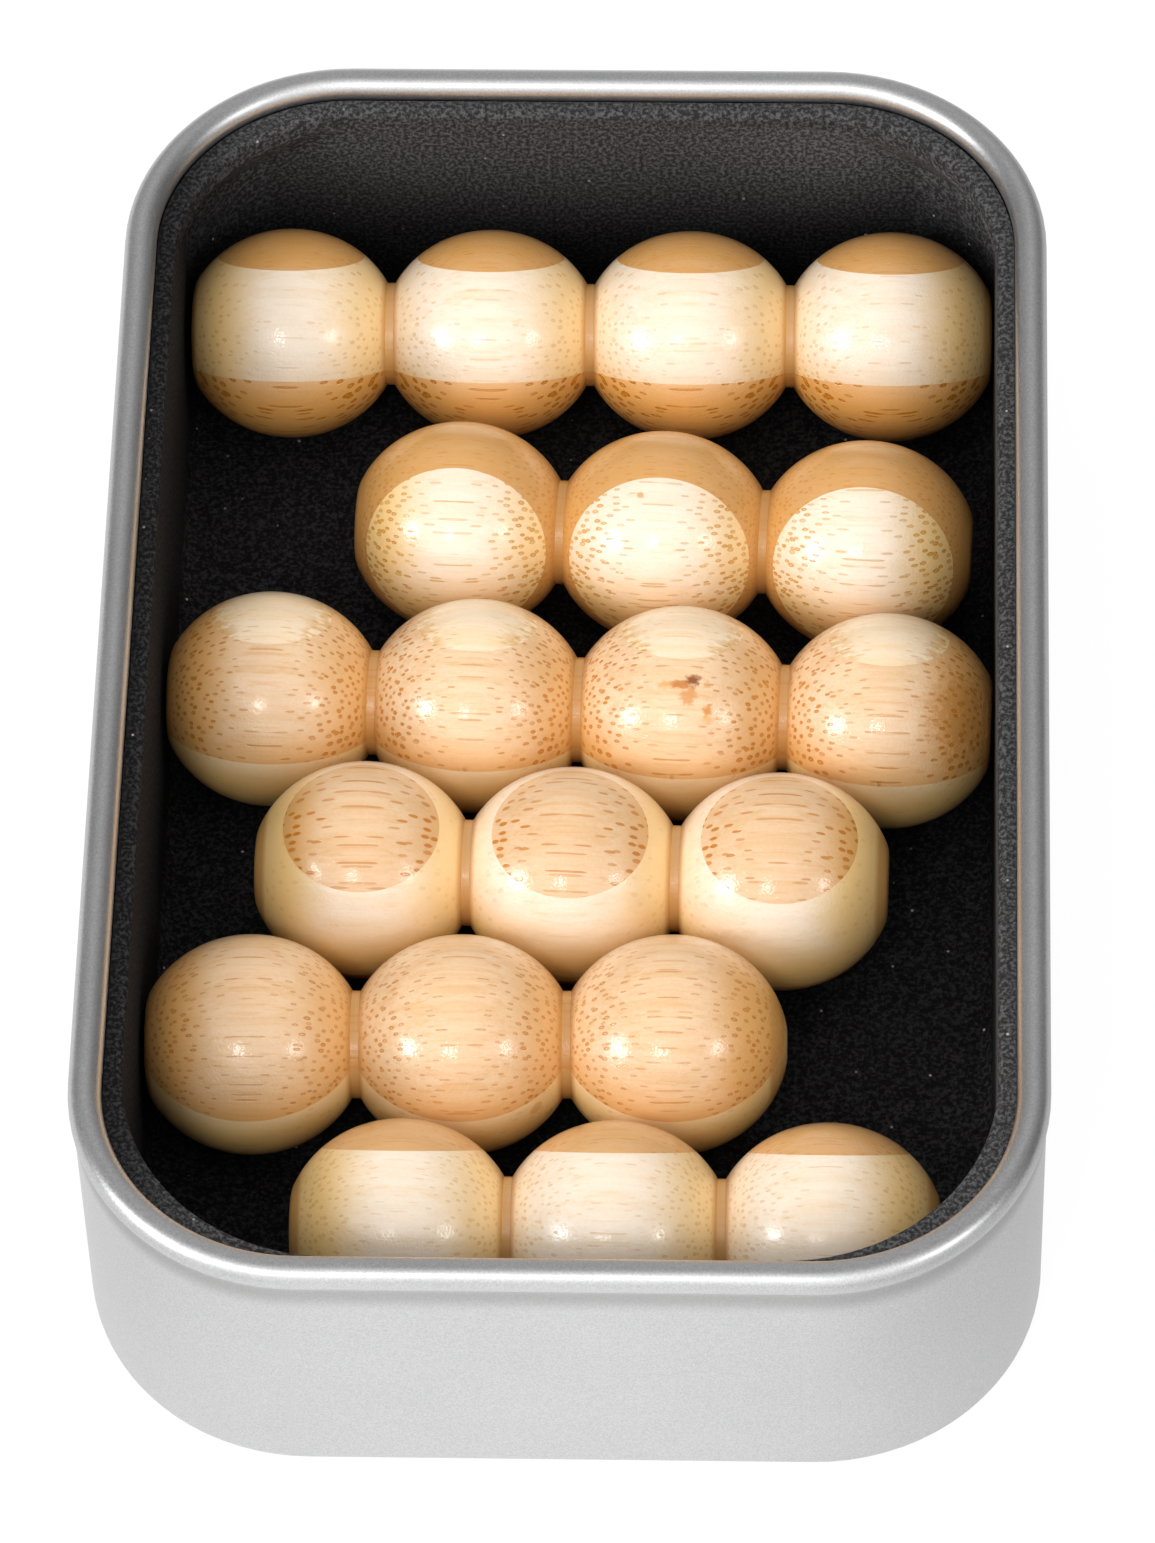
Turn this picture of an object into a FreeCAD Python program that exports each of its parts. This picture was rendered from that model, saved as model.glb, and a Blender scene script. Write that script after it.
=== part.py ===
import FreeCAD, Part
import math
import os
from FreeCAD import Vector

# Pyramid puzzle: six straight rods of turned balls, packed flat in a drawn tin with a flocked insert.
# Two rods have four balls and four have three, which together stack into a pyramid of twenty.
# Each rod is turned from a blank of three thick bamboo boards, glued face to face.
# Millimetres. The tin stands on Z = 0 and is centred on X and Y, with its length along Y.

# Turned balls
ball_diameter = 16.2
ball_pitch = 15.45
neck_radius = 3.95
neck_length = 0.6
end_round = 2.5           # soft edge of the flat sawn end of a rod

# Glued blank
board_thickness = 8.2

# Insert
insert_sheet = 0.7
insert_floor_radius = 1.4     # inside, between floor and wall
insert_lip_radius = 0.6       # soft edge where the wall turns out to the flange
insert_flange = 1.32          # from the cavity's side or back wall to the flange's edge
front_flange = 0.75           # the same at the front, where the flange is narrow
flange_below_rim = 1.7        # the flange lies this far under the top of the rim
pocket_blend = 2.0            # between a straight wall and the deep corner pocket for a rod's end
lip_back_extra = 0.95         # the lip's back corners are rounder by this than ones parallel to the rim
lip_front_extra = 2.25        # and its front corners by this
lean_above_balls = 0.6        # the corners start to lean in this far above the balls
lean_below_flange = 1.75      # and stand upright again this far under the flange's top

# Tin
tin_height = 26.07
tin_sheet = 0.35
rim_diameter = 2.4
rim_stand_out = 0.25          # the rim stands out past the wall by this much
rim_curl = 290.0              # degrees that the rim's edge is rolled inwards
rim_root_radius = 0.8         # the soft groove under the rim
corner_radius = 16.8          # over the rim
foot_radius = 1.8
foot_width = 3.0              # flat ring that the tin stands on
panel_rise = 0.4              # the base inside that ring is pressed up
panel_step_radius = 0.6

# Clearances
insert_to_rim = 0.03          # in plan; the flange lies lower than the rim's widest point
insert_to_wall = 0.7          # at the corners, where the insert comes nearest to the tin's wall
rod_to_corner = 0.12          # between the end of the first rod and the cavity's corner
rod_end_play = 0.26           # between the longest rod and the insert, at each end
rod_to_rod = 0.12             # between balls that lie against each other
rod_to_floor = 0.2
back_play = 1.87              # between the first rod and the insert
front_play = 3.05             # between the last rod and the insert
pocket_checks = 10            # points of an end ball at which its room in a corner is worked out

# Rods from the back of the tin to the front.
# ends are where the saw cuts the first and the last ball, as a share of a ball's half length.
# place is where the rod lies between the side walls, from -1 at the left to 1 at the right.
# spare is the room left behind it, once it would lie against the rod behind.
# board_angle is where the outer board's face looks, in degrees from the back of the tin upwards,
# and cap is how much of that board the lathe leaves at the crown of each ball.
rods = [
    dict(
        name="rod_1", balls=4, ends=(0.895, 0.925), place=0.55, spare=0.0, turn=0.05,
        board_angle=49.8, cap=2.06,
    ),
    dict(
        name="rod_2", balls=3, ends=(0.937, 0.954), place=0.79, spare=2.4, turn=-2.8,
        board_angle=146.4, cap=3.28,
    ),
    dict(
        name="rod_3", balls=4, ends=(0.913, 0.925), place=0.35, spare=0.0, turn=-1.9,
        board_angle=63.1, cap=1.23,
    ),
    dict(
        name="rod_4", balls=3, ends=(0.948, 0.948), place=-0.014, spare=0.2, turn=-1.3,
        board_angle=93.3, cap=2.16,
    ),
    dict(
        name="rod_5", balls=3, ends=(0.907, 0.990), place=-0.963, spare=0.0, turn=0.6,
        board_angle=91.4, cap=6.11,
    ),
    dict(
        name="rod_6", balls=3, ends=(0.942, 0.954), place=0.494, spare=0.2, turn=0.0,
        board_angle=34.2, cap=2.22,
    ),
]


def row_reach(rod):
    """How far a rod's two sawn ends lie from the middle of its row of balls, left and right."""
    row = (rod["balls"] - 1) / 2 * ball_pitch
    return [row + share * ball_half_axis for share in rod["ends"]]


# Sizes that follow
ball_radius = ball_diameter / 2
ball_to_neck = (ball_pitch - neck_length) / 2
ball_half_axis = ball_to_neck / math.sqrt(1 - (neck_radius / ball_radius) ** 2)
cavity_half_width = max(sum(row_reach(rod)) for rod in rods) / 2 + rod_end_play
rim_inside = rim_diameter + insert_to_rim      # from the rim's outside to the flange's edge
cavity_to_tin = insert_flange + rim_inside     # from a side or back wall to the rim's outside
tin_half_width = cavity_half_width + cavity_to_tin
corner_axis_x = tin_half_width - corner_radius
pocket_reach = corner_radius - rim_stand_out - tin_sheet - insert_to_wall - insert_sheet
panel_top = panel_rise + tin_sheet
floor_top = panel_top + insert_sheet
axis_height = floor_top + rod_to_floor + ball_radius
flange_top = tin_height - flange_below_rim
lean_start = axis_height + ball_radius + lean_above_balls
lean_end = flange_top - lean_below_flange


def row_middle(rod):
    """Where the middle of a rod's row of balls lies across the tin."""
    left, right = row_reach(rod)
    lowest = left - cavity_half_width
    highest = cavity_half_width - right
    return lowest + (rod["place"] + 1) / 2 * (highest - lowest)


def ball_centres(rod, y):
    """Plan positions of the balls of a rod whose row of balls has its middle at y."""
    turn = math.radians(rod["turn"])
    steps = [(i - (rod["balls"] - 1) / 2) * ball_pitch for i in range(rod["balls"])]
    return [(row_middle(rod) + s * math.cos(turn), y + s * math.sin(turn)) for s in steps]


def contact_distance(across):
    """How far apart two balls lie from back to front when they touch, one shifted across by so much."""
    share = across / (2 * ball_half_axis + rod_to_rod)
    return (2 * ball_radius + rod_to_rod) * math.sqrt(max(0.0, 1 - share ** 2))


def wall_behind(rod, y):
    """The nearest back wall whose corner pockets clear a rod's end balls, from sawn end to crown."""
    centres = ball_centres(rod, y)
    walls = []
    for (ball_x, ball_y), cut in zip((centres[0], centres[-1]), rod["ends"]):
        for step in range(pocket_checks + 1):
            share = cut * step / pocket_checks
            across = max(0.0, abs(ball_x) + share * ball_half_axis - corner_axis_x)
            reach = math.sqrt((pocket_reach - rod_to_corner) ** 2 - across ** 2)
            back = ball_y + ball_radius * math.sqrt(1 - share ** 2)
            walls.append(back - reach + corner_radius - cavity_to_tin)
    return max(walls)


def lay_out_rods():
    """Lay the rods against each other from the back, and put the walls and the tin round them.

    Return the rods' y places and how far the cavity reaches back and forwards from the tin's middle.
    """
    places = [0.0]
    for behind, rod in zip(rods, rods[1:]):
        back = ball_centres(behind, places[-1])
        here = ball_centres(rod, 0.0)
        y = min(yb - yh - contact_distance(xb - xh) for xb, yb in back for xh, yh in here)
        places.append(y - rod["spare"])
    first = max(y for _, y in ball_centres(rods[0], places[0]))
    last = min(y for _, y in ball_centres(rods[-1], places[-1]))
    back_wall = max(first + ball_radius + back_play, wall_behind(rods[0], places[0]))
    front_wall = last - ball_radius - front_play
    middle = (back_wall + cavity_to_tin + front_wall - front_flange - rim_inside) / 2
    return [y - middle for y in places], back_wall - middle, middle - front_wall


rod_places, cavity_back, cavity_front = lay_out_rods()
tin_half_length = cavity_back + cavity_to_tin
corner_axis_y = tin_half_length - corner_radius


def strip(start, heading, moves, thickness):
    """A bent strip of sheet in section, as a face in XZ.

    The middle of the sheet starts at (x, z) with a heading in degrees. Each move is (length, 0), a
    straight run, or (radius, turn), a bend with a signed turn in degrees, positive to the left.
    """
    x, z = start
    angle = math.radians(heading)
    left = []
    right = []

    def beside(px, pz, direction, distance):
        return Vector(px - distance * math.sin(direction), 0, pz + distance * math.cos(direction))

    for size, turn in moves:
        half = math.radians(turn) / 2
        stations = [(x, z, angle)]
        if turn:
            side = math.copysign(size, turn)
            cx = x - side * math.sin(angle)
            cz = z + side * math.cos(angle)
            for step in (1, 2):
                a = angle + step * half
                stations.append((cx + side * math.sin(a), cz - side * math.cos(a), a))
        else:
            stations.append((x + size * math.cos(angle), z + size * math.sin(angle), angle))
        for edges, distance in ((left, thickness / 2), (right, -thickness / 2)):
            points = [beside(px, pz, a, distance) for px, pz, a in stations]
            edges.append(Part.Arc(*points).toShape() if turn else Part.makeLine(*points))
        x, z, angle = stations[-1]
    first = Part.makeLine(right[0].Vertexes[0].Point, left[0].Vertexes[0].Point)
    last = Part.makeLine(left[-1].Vertexes[-1].Point, right[-1].Vertexes[-1].Point)
    return Part.Face(Part.Wire(Part.__sortEdges__([first] + left + [last] + right)))


def rounded_plate(half_x, half_y, radius, bottom, thickness):
    """A flat plate with rounded corners."""
    plate = Part.makeBox(2 * half_x, 2 * half_y, thickness, Vector(-half_x, -half_y, bottom))
    upright = [e for e in plate.Edges if abs(e.Vertexes[0].Z - e.Vertexes[1].Z) > thickness / 2]
    return plate.makeFillet(radius, upright)


def carry_round(section):
    """Carry a section, drawn in XZ from a corner's axis outwards, once round the tin's outline."""
    corners = [
        Vector(corner_axis_x, corner_axis_y, 0),
        Vector(-corner_axis_x, corner_axis_y, 0),
        Vector(-corner_axis_x, -corner_axis_y, 0),
        Vector(corner_axis_x, -corner_axis_y, 0),
    ]
    up = Vector(0, 0, 1)
    pieces = []
    for quarter, corner in enumerate(corners):
        before = corners[quarter - 1]
        side = section.copy()
        side.rotate(Vector(0, 0, 0), up, 90 * quarter)
        side.translate(before)
        pieces.append(side.extrude(corner - before))
        side.translate(corner - before)
        pieces.append(side.revolve(corner, up, 90))
    return pieces


def sheet_metal_tin():
    """The tin: pressed base, standing ring, wall and inward curled rim, all one sheet."""
    rim_radius = rim_diameter / 2
    curl_radius = rim_radius - tin_sheet / 2
    root_span = rim_root_radius + curl_radius
    wall_line = corner_radius - rim_stand_out - tin_sheet / 2
    root_turn = math.degrees(math.acos((rim_radius - rim_stand_out - tin_sheet / 2 + rim_root_radius) / root_span))
    foot_line = foot_radius - tin_sheet / 2
    step_turn = math.degrees(math.acos(1 - panel_rise / (2 * panel_step_radius)))
    step_run = 2 * panel_step_radius * math.sin(math.radians(step_turn))
    wall_bottom = foot_radius
    wall_top = tin_height - rim_radius - root_span * math.sin(math.radians(root_turn))
    panel_edge = wall_line - foot_line - foot_width - step_run
    section = strip(
        (panel_edge, panel_rise + tin_sheet / 2), 0,
        [
            (panel_step_radius, -step_turn),
            (panel_step_radius, step_turn),
            (foot_width, 0),
            (foot_line, 90),
            (wall_top - wall_bottom, 0),
            (rim_root_radius, -root_turn),
            (curl_radius, rim_curl),
        ],
        tin_sheet,
    )
    panel = rounded_plate(
        corner_axis_x + panel_edge, corner_axis_y + panel_edge, panel_edge, panel_rise, tin_sheet,
    )
    return panel.multiFuse(carry_round(section)).removeSplitter()


def pocket_corner(at_back, grow):
    """Seven stops round a deep corner pocket, in the quarter where x and y are positive.

    The pocket turns about the axis of the tin's corner, and a smaller arc blends it into each wall.
    """
    half_x = cavity_half_width + grow
    half_y = (cavity_back if at_back else cavity_front) + grow
    radius = pocket_reach + grow
    blend = pocket_blend + grow
    axis = Vector(corner_axis_x, corner_axis_y, 0)
    side_y = corner_axis_y + math.sqrt((radius - blend) ** 2 - (half_x - blend - corner_axis_x) ** 2)
    side_x = corner_axis_x + math.sqrt((radius - blend) ** 2 - (half_y - blend - corner_axis_y) ** 2)
    first = Vector(half_x - blend, side_y, 0)
    second = Vector(side_x, half_y - blend, 0)
    right = Vector(1, 0, 0)
    back = Vector(0, 1, 0)
    to_first = (first - axis).normalize()
    to_second = (second - axis).normalize()
    return [
        first + right * blend,
        first + (right + to_first).normalize() * blend,
        axis + to_first * radius,
        axis + (to_first + to_second).normalize() * radius,
        axis + to_second * radius,
        second + (back + to_second).normalize() * blend,
        second + back * blend,
    ]


def lip_corner(at_back, grow):
    """Seven stops round a plain rounded corner of the lip, in the quarter where x and y are positive."""
    half_y, extra = (cavity_back, lip_back_extra) if at_back else (cavity_front, lip_front_extra)
    radius = corner_radius - cavity_to_tin + extra
    axis = Vector(cavity_half_width - radius, half_y - radius, 0)
    turns = [math.radians(90 * step / 6) for step in range(7)]
    return [axis + Vector(math.cos(a), math.sin(a), 0) * (radius + grow) for a in turns]


def cavity_outline(corner, height, grow=0.0):
    """Plan of the cavity at a height: straight walls between corners, each of three arcs.

    grow moves the whole outline outwards.
    """
    corners = []
    for sx, sy in ((1, 1), (-1, 1), (-1, -1), (1, -1)):
        stops = [Vector(sx * p.x, sy * p.y, height) for p in corner(sy > 0, grow)]
        corners.append(stops if sx == sy else stops[::-1])
    edges = []
    for index, stops in enumerate(corners):
        edges.append(Part.makeLine(corners[index - 1][-1], stops[0]))
        for start in (0, 2, 4):
            edges.append(Part.Arc(*stops[start:start + 3]).toShape())
    return Part.Wire(edges)


def cavity_body(bottom, top, grow=0.0):
    """The space inside the insert, or with grow its outside: upright, then leaning in at the corners."""
    floor = Part.Face(cavity_outline(pocket_corner, bottom, grow))
    body = floor.extrude(Vector(0, 0, lean_start - bottom))
    feet = [e for e in body.Edges if e.BoundBox.ZMax < bottom + 0.001]
    body = body.makeFillet(insert_floor_radius + grow, feet)
    pocket = cavity_outline(pocket_corner, lean_start, grow)
    lip = cavity_outline(lip_corner, lean_end, grow)
    leaning = Part.makeLoft([pocket, lip], True, True)
    neck = Part.Face(lip).extrude(Vector(0, 0, top - lean_end))
    return body.fuse([leaning, neck])


def formed_insert():
    """The insert: one formed sheet with a floor, walls and a flange that lies inside the rim."""
    flange = rounded_plate(
        tin_half_width - rim_inside, tin_half_length - rim_inside, corner_radius - rim_inside,
        flange_top - insert_sheet, insert_sheet,
    )
    outside = cavity_body(panel_top, flange_top - insert_sheet / 2, insert_sheet)
    shell = outside.fuse(flange).cut(cavity_body(floor_top, flange_top + insert_sheet)).removeSplitter()
    lip = [
        e for e in shell.Edges
        if e.BoundBox.ZMin > flange_top - 0.001 and e.BoundBox.ZMax < flange_top + 0.001
        and max(abs(e.BoundBox.XMin), e.BoundBox.XMax) < cavity_half_width + 0.001
        and -cavity_front - 0.001 < e.BoundBox.YMin and e.BoundBox.YMax < cavity_back + 0.001
    ]
    return shell.makeFillet(insert_lip_radius, lip)


def ball_outline(centre, start, end):
    """Arc of the ball's ellipse between two angles of its parameter, exact as a weighted curve."""
    middle = (start + end) / 2
    weight = math.cos((end - start) / 2)
    curve = Part.BezierCurve()
    curve.setPoles([
        Vector(centre + ball_half_axis * math.cos(start), ball_radius * math.sin(start), 0),
        Vector(
            centre + ball_half_axis * math.cos(middle) / weight,
            ball_radius * math.sin(middle) / weight, 0,
        ),
        Vector(centre + ball_half_axis * math.cos(end), ball_radius * math.sin(end), 0),
    ])
    curve.setWeight(2, weight)
    return curve.toShape()


def turned_rod(rod):
    """A rod as it comes off the lathe, along X: balls parted by narrow necks, with flat sawn ends."""
    left, right = row_reach(rod)
    at_neck = math.acos(ball_to_neck / ball_half_axis)
    first_cut, last_cut = [math.acos(share) for share in rod["ends"]]
    last_ball = rod["balls"] - 1
    edges = []
    last = Vector(-left, 0, 0)
    for i in range(rod["balls"]):
        centre = (i - last_ball / 2) * ball_pitch
        start = math.pi - (at_neck if i else first_cut)
        end = at_neck if i < last_ball else last_cut
        arcs = [ball_outline(centre, start, math.pi / 2), ball_outline(centre, math.pi / 2, end)]
        edges.append(Part.makeLine(last, arcs[0].Vertexes[0].Point))
        edges.extend(arcs)
        last = arcs[1].Vertexes[-1].Point
    tip = Vector(right, 0, 0)
    edges.append(Part.makeLine(last, tip))
    edges.append(Part.makeLine(tip, Vector(-left, 0, 0)))
    profile = Part.Face(Part.Wire(edges))
    turned = profile.revolve(Vector(0, 0, 0), Vector(1, 0, 0), 360)
    rims = [
        e for e in turned.Edges
        if e.BoundBox.XLength < 0.01 and (e.BoundBox.XMin < 0.01 - left or e.BoundBox.XMax > right - 0.01)
    ]
    return turned.makeFillet(end_round, rims)


def rod_plies(rod, y):
    """The three glued boards of a rod, each cut to the turned form and laid in the tray."""
    turned = turned_rod(rod)
    spare = ball_diameter
    left, right = row_reach(rod)
    width = ball_diameter + spare
    plies = {}
    for index, ply in enumerate(("upper_ply", "middle_ply", "lower_ply")):
        low = ball_radius - rod["cap"] - index * board_thickness
        corner = Vector(-left - spare / 2, -width / 2, low)
        board = Part.makeBox(left + right + spare, width, board_thickness, corner)
        board.rotate(Vector(0, 0, 0), Vector(1, 0, 0), rod["board_angle"] - 90)
        shape = turned.common(board)
        shape.rotate(Vector(0, 0, 0), Vector(0, 0, 1), rod["turn"])
        shape.translate(Vector(row_middle(rod), y, axis_height))
        plies[rod["name"] + "_" + ply] = shape
    return plies


def main():
    os.makedirs("parts", exist_ok=True)
    nodes = {"tin_tray": sheet_metal_tin(), "flocked_insert": formed_insert()}
    for rod, y in zip(rods, rod_places):
        nodes.update(rod_plies(rod, y))
    for name, shape in nodes.items():
        shape.exportStep("parts/" + name + ".step")
        solids = len(shape.Solids)
        print(name, "solids", solids, "volume", round(shape.Volume, 1), "valid", shape.isValid())
    print("tin", round(2 * tin_half_width, 2), "x", round(2 * tin_half_length, 2), "x", tin_height)
    print("rods at x", [round(row_middle(rod), 2) for rod in rods])
    print("rods at y", [round(y, 2) for y in rod_places], "axis height", round(axis_height, 2))


main()
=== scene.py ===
import math
from typing import NamedTuple

import bpy
from mathutils import Matrix, Vector


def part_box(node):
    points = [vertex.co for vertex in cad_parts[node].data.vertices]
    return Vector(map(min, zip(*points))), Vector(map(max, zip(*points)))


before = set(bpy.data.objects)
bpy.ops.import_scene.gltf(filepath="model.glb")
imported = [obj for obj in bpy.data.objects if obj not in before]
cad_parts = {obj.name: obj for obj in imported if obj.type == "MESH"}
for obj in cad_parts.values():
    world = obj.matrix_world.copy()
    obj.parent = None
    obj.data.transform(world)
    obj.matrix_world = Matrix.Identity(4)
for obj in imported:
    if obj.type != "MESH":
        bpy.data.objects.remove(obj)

bl_info = {
    "name": "Pyramid Puzzle in a Tin",
    "version": (1, 0, 0),
    "blender": (4, 5, 0),
    "location": "3D View > Sidebar > Puzzle",
    "description": "Finishes the packed pyramid puzzle: bamboo ball rods, flocked insert, satin tin and their studio",
    "category": "Object",
}

MILLIMETRE = 0.001

# Sizes of the turned rods, in millimetres
BALL_PITCH = 15.45
BALL_RADIUS = 8.1
BALL_HALF_LENGTH = 8.5    # of the whole ball, if no neck or saw had cut it
BOARD_THICKNESS = 8.2     # of each glued bamboo board
PLIES = ("upper_ply", "middle_ply", "lower_ply")


class Board(NamedTuple):
    """How the bamboo of one of a rod's glued boards looks."""

    tone: str            # natural, or brown where the bamboo was steamed
    light: float         # of its ground and its end grain, 1 for the plain tone; below 1 it is partly the board's own tone and partly painted shade on boards that face up and back
    deep: float          # how much of the end grain's golden colour it has all over, partly the board's own tone and partly painted shade on boards that face up and back
    strength: float      # of its bundles of fibres
    spacing: float       # from bundle to bundle, in millimetres
    width: float         # of a bundle, in millimetres
    share: float         # of the bundles that is there
    crowd: float         # how they crowd towards the board's outer face, or below 0 its inner one
    hollow: float        # how hollow they look
    bleed: float = 0.0   # how strong the dark teeth along its inner seam are


class Rod(NamedTuple):
    """How one rod of balls was cut, and how it lies in the tin."""

    balls: int
    ends: tuple          # what the saw left of its first and last ball, as parts of half a whole ball
    turn: float          # about the upright, in degrees
    board_angle: float   # which way its boards face, in degrees round the rod
    cap: float           # what is left of the outer board at the crown, in millimetres
    boards: tuple        # the outer one first


# From the back of the tin to the front. A board's numbers follow its tone in the order of Board:
# light, deep, strength, spacing, width, share, crowd, hollow and, on one of them, bleed.
RODS = {
    "rod_1": Rod(balls=4, ends=(0.895, 0.925), turn=0.05, board_angle=49.8, cap=2.06, boards=(
        Board("brown", 0.82, 0.95, 0.60, 0.50, 0.19, 0.80, -0.3, 0.3),
        Board("natural", 1.0, 0.00, 0.55, 0.52, 0.20, 0.70, -0.7, 0.6),
        Board("brown", 1.0, 0.40, 1.50, 0.64, 0.34, 1.30, 0.1, 0.6))),
    "rod_2": Rod(balls=3, ends=(0.937, 0.954), turn=-2.8, board_angle=146.4, cap=3.28, boards=(
        Board("natural", 1.0, 0.00, 1.15, 0.52, 0.25, 1.30, 0.2, 0.5),
        Board("brown", 0.82, 1.00, 0.70, 0.48, 0.19, 1.00, 0.4, 0.3),
        Board("natural", 1.0, 0.30, 0.70, 0.56, 0.20, 0.80, 0.0, 0.5))),
    "rod_3": Rod(balls=4, ends=(0.913, 0.925), turn=-1.9, board_angle=63.1, cap=1.23, boards=(
        Board("natural", 1.0, 0.35, 0.70, 0.50, 0.20, 0.70, -0.8, 0.2, 0.6),
        Board("brown", 0.95, 0.15, 1.10, 0.52, 0.23, 1.10, 0.7, 0.3),
        Board("natural", 1.0, 0.30, 0.30, 0.60, 0.20, 0.50, 0.4, 0.3))),
    "rod_4": Rod(balls=3, ends=(0.948, 0.948), turn=-1.3, board_angle=93.3, cap=2.16, boards=(
        Board("brown", 0.90, 0.30, 1.30, 0.66, 0.31, 1.20, 0.0, 0.1),
        Board("natural", 1.0, 0.00, 0.25, 0.62, 0.22, 0.45, -0.5, 0.3),
        Board("brown", 1.0, 0.30, 0.90, 0.56, 0.22, 0.90, 0.0, 0.3))),
    "rod_5": Rod(balls=3, ends=(0.907, 0.990), turn=0.6, board_angle=91.4, cap=6.11, boards=(
        Board("brown", 0.95, 0.25, 1.00, 0.52, 0.22, 0.90, -0.4, 0.7),
        Board("natural", 1.0, 0.20, 0.35, 0.60, 0.21, 0.55, 0.0, 0.4),
        Board("brown", 1.0, 0.40, 0.80, 0.56, 0.22, 0.90, 0.0, 0.4))),
    "rod_6": Rod(balls=3, ends=(0.942, 0.954), turn=0.0, board_angle=34.2, cap=2.22, boards=(
        Board("brown", 0.84, 0.80, 0.70, 0.50, 0.19, 0.80, 0.2, 0.2),
        Board("natural", 1.0, 0.00, 0.55, 0.50, 0.20, 0.85, 0.1, 0.5),
        Board("brown", 1.0, 0.40, 0.80, 0.56, 0.22, 0.90, 0.0, 0.4))),
}

# Marks that the bamboo grew or was handled with, and one painted shade, by board: place in the rod's own frame in
# millimetres (along, across, through the boards), half its height in millimetres, how many times
# longer it is than high, how strong, colour on a screen.
MARKS = {
    "rod_3_middle_ply": (
        ((7.2, -5.88, 5.52), 0.44, 4.0, 0.70, (218, 150, 50)),
        ((8.0, -5.85, 5.58), 0.60, 2.0, 0.85, (190, 112, 20)),
        ((8.45, -6.45, 4.85), 0.94, 0.9, 0.80, (208, 134, 44)),
        ((8.85, -5.62, 5.78), 0.56, 1.4, 1.00, (146, 76, 0)),
        ((9.9, -5.75, 5.55), 0.42, 1.6, 0.75, (214, 142, 36)),
        ((9.92, -6.78, 3.92), 0.56, 0.8, 0.95, (212, 134, 10)),
        ((9.95, -7.08, 3.3), 0.45, 1.2, 0.55, (222, 156, 50)),
        # painted shade, not a stain: golden brown at the right end of the last ball, where it lies in shade
        ((28.6, -5.0, 3.4), 4.2, 0.8, 0.55, (196, 126, 42))),
    "rod_2_upper_ply": (
        ((-1.5, 5.4, 5.8), 0.34, 1.2, 0.70, (206, 136, 30)),),
    "rod_5_middle_ply": (
        ((5.6, -6.0, 0.9), 0.70, 1.5, 0.45, (196, 130, 40)),
        ((6.4, -5.2, -0.9), 0.60, 1.5, 0.35, (196, 130, 40))),
}

# Where a feature of a ball begins and where it is full, in pitches from the ball's middle
CROSS_CUT = (0.12, 0.38)          # the lathe crossed the fibres more than it ran along them
# end grain at both ends of a ball, with painted shade on the right end, away from the key lamp
GOLDEN_RIGHT = (0.10, 0.44)
GOLDEN_LEFT = (-0.30, -0.48)
SEAM_TEETH = (0.11, 0.19)
NECK_GROOVE = (0.45, 0.48)

# The same for features of a rod, in millimetres
PAINTED_SHADE_ROD_ENDS = (6.5, 2.0)          # in from the end of its last pitch: painted shade where the tin's walls shade the rod's ends
PAINTED_SHADE_UNDERSIDE = {"natural": (4.8, -0.6), "brown": (6.0, 0.5)}    # above its middle: painted shade, golden like bounce light, on the rod's underside
TEETH_REACH = 0.95                # of the dark teeth, from their seam

# How much of the golden colour shows there: end grain at a ball's ends, with painted shade making the right end
# stronger, and painted shade at the rod's ends; on the rod's underside, which is painted shade, all of it does
RIGHT_SHARE = 0.8
LEFT_SHARE = 0.3
ROD_ENDS_SHADE_SHARE = 0.9
GRAIN_IN_GOLD = 0.3               # how much more or less of it shows in dark or light grain
MEAN_GRAIN = 0.4

# Steps of a pattern per millimetre along, across and through the boards
WANDER = (0.03, 0.10, 0.10)
PATCHES = (0.09, 0.16, 0.16)
GRAIN = (0.05, 1.1, 1.1)
GRAIN_LINES = (0.05, 3.0, 3.0)
FINE_GRAIN = (0.3, 6.0, 6.0)
TEETH = (0.12, 2.0, 2.0)
RAGGED_EDGE = (1.6, 2.6, 2.6)
MOTTLE_SCALE = 3.4                # in every direction
WANDER_WIDTH = 1.6                # millimetres from side to side
SEED_STEPS = (1.7, 3.1, 2.3)      # millimetres that the pattern moves per step of a board's seed

# Kinds of grain: where each begins and is full in its noise, and its weight
STREAK_EDGE, STREAK_WEIGHT = (0.35, 0.75), 0.5
LINE_EDGE, LINE_WEIGHT = (0.52, 0.72), 0.45
FINE_EDGE, FINE_WEIGHT = (0.45, 0.8), 0.25
MOTTLE_WEIGHT = 0.5

# Bundles of fibres
CELL_SQUASH = 0.85                # steps of the cells through the boards, to one across them
CELL_DISORDER = 0.85
DOT_EDGE = (0.70, 1.12)           # in half widths from the cell's middle
HEART_EDGE = (0.10, 0.62)
HALF_WIDTH = 0.6                  # of a dot with its soft edge, as a part of its bundle's width
SIZES = (0.8, 1.2)                # by chance
STRENGTHS = (0.6, 1.0)            # by chance
STREAK_SIZE = 0.5                 # where the cut runs along a bundle, to a dot's where it crosses it
STREAK_STRENGTH = 0.7
AWAY_GAIN = 0.2                   # in size, away from where they crowd
CROWD_LOSS = 0.3                  # in size, from there to the crowd
CROWD_RANGE = (0.1, 0.95)
CROWD_SWING = 0.35                # in share, less away from the crowd and more in it
PATCH_SWING = 0.7                 # in share, from patch to patch
PRESENT_EDGE = (-0.04, 0.06)
TEETH_EDGE = (0.42, 0.55)

# How far the groove at a neck hides its bundles, takes its own dull colour, end grain darkened with painted shade in
# the crease, and loses its lacquer
GROOVE_HIDES = 0.7
NECK_SHADE_SHARE = 0.8
GROOVE_DULLS = 0.8

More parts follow.
